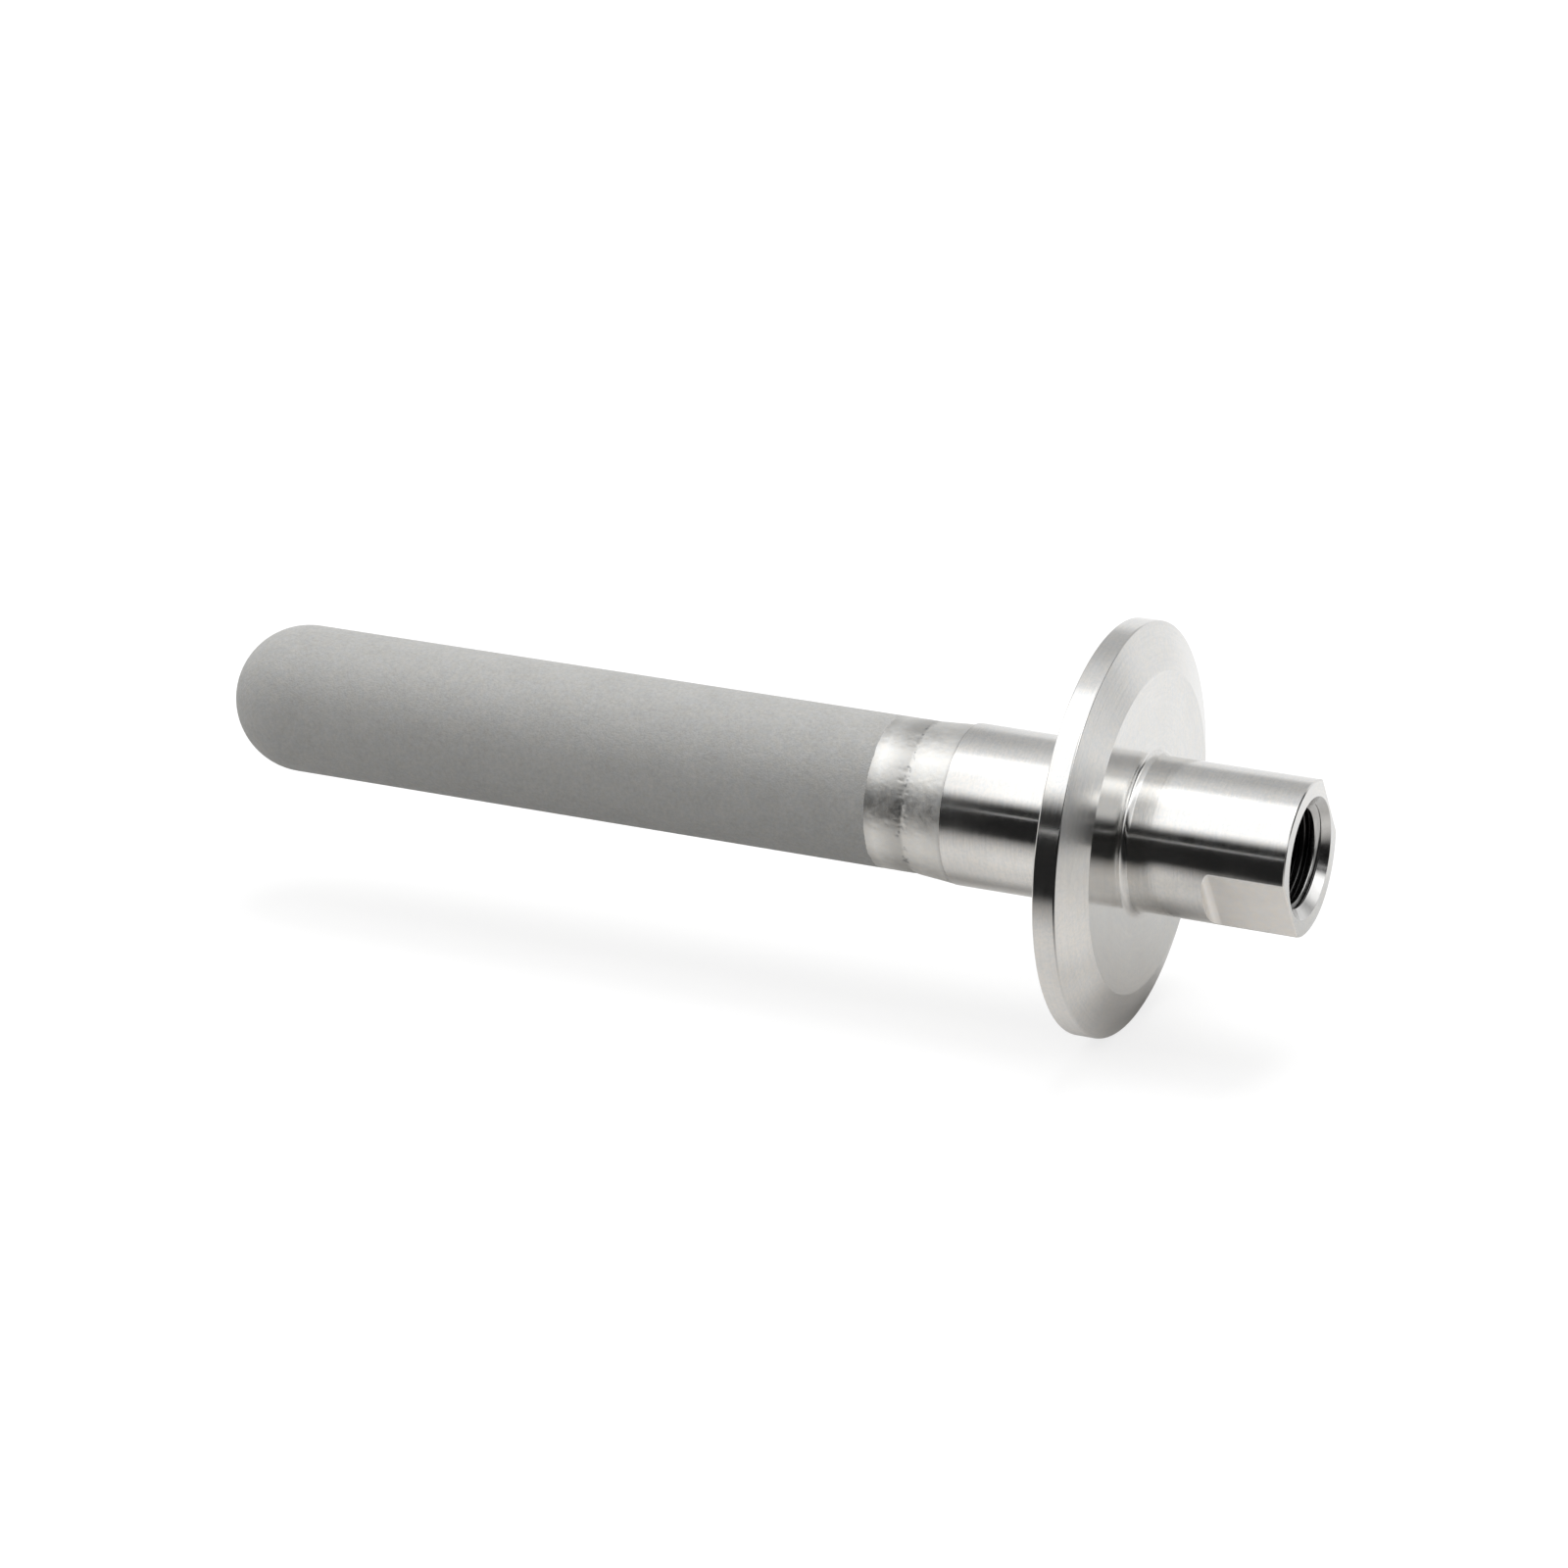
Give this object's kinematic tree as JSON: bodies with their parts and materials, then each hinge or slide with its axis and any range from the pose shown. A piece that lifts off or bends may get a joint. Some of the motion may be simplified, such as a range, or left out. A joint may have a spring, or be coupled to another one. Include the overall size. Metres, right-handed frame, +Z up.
{
  "type": "tri-clamp filter",
  "caption": "Sintered steel filter and diffusion tube welded to a clamp flange fitting, with a female threaded gas port and wrench flats on its stub.",
  "frame": {"origin": "centre of the flange's sealing face, on the axis", "axes": "+X along the axis out of the threaded port, with the closed tube towards -X; +Z up"},
  "size_m": [0.1435, 0.0506, 0.0506],
  "materials": {
    "turned_steel": "turned and polished, bright",
    "sintered_steel": "sintered powder, matte and finely grained",
    "weld_steel": "dressed weld, bright with fine pits"
  },
  "bodies": {
    "root": {"clamp_fitting": "turned_steel", "porous_element": "sintered_steel", "weld_ring": "weld_steel"}
  },
  "joints": []
}
